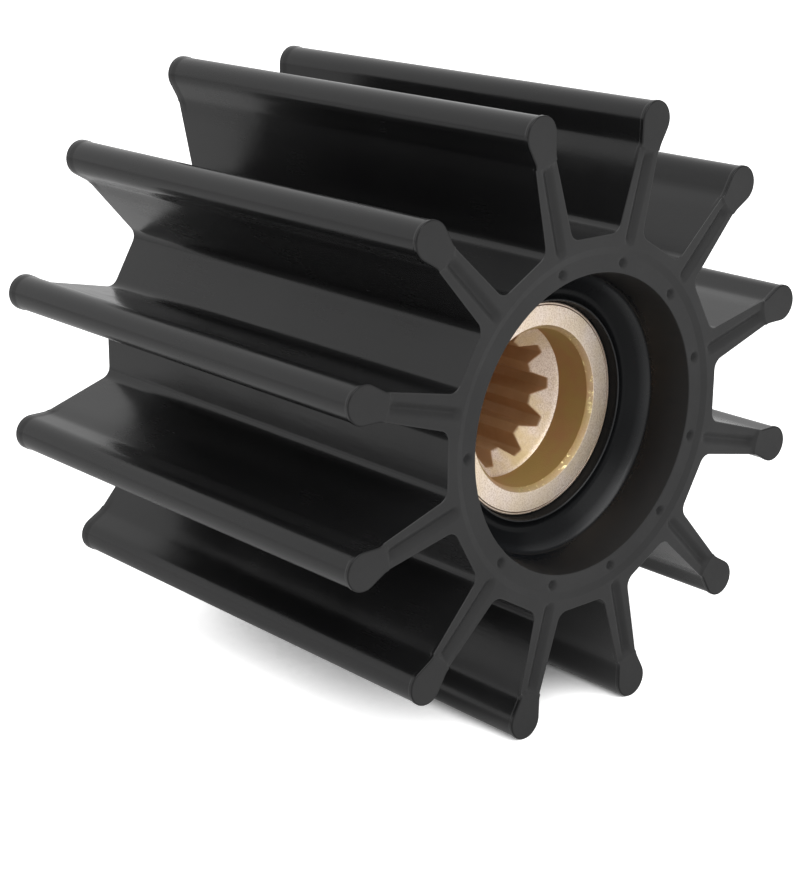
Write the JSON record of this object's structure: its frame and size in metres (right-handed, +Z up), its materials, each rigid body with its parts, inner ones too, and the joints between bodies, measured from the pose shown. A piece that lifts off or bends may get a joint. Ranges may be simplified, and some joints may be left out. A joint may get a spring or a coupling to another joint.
{
  "type": "flexible pump impeller",
  "caption": "Flexible rubber pump impeller with bulb-tipped vanes on a hub, bonded round a brass insert with an internal spline.",
  "frame": {"origin": "on the spline's axis, midway between the ends of the vane tips", "axes": "+X along the axis, out of the front face with the deep recess; +Z up as it lies on two vane tips"},
  "size_m": [0.082, 0.092, 0.092],
  "materials": {
    "rubber": "semi-matt moulded rubber",
    "insert": "turned, fine grain"
  },
  "bodies": {
    "root": {"rubber_body": "rubber", "splined_insert": "insert"}
  },
  "joints": []
}
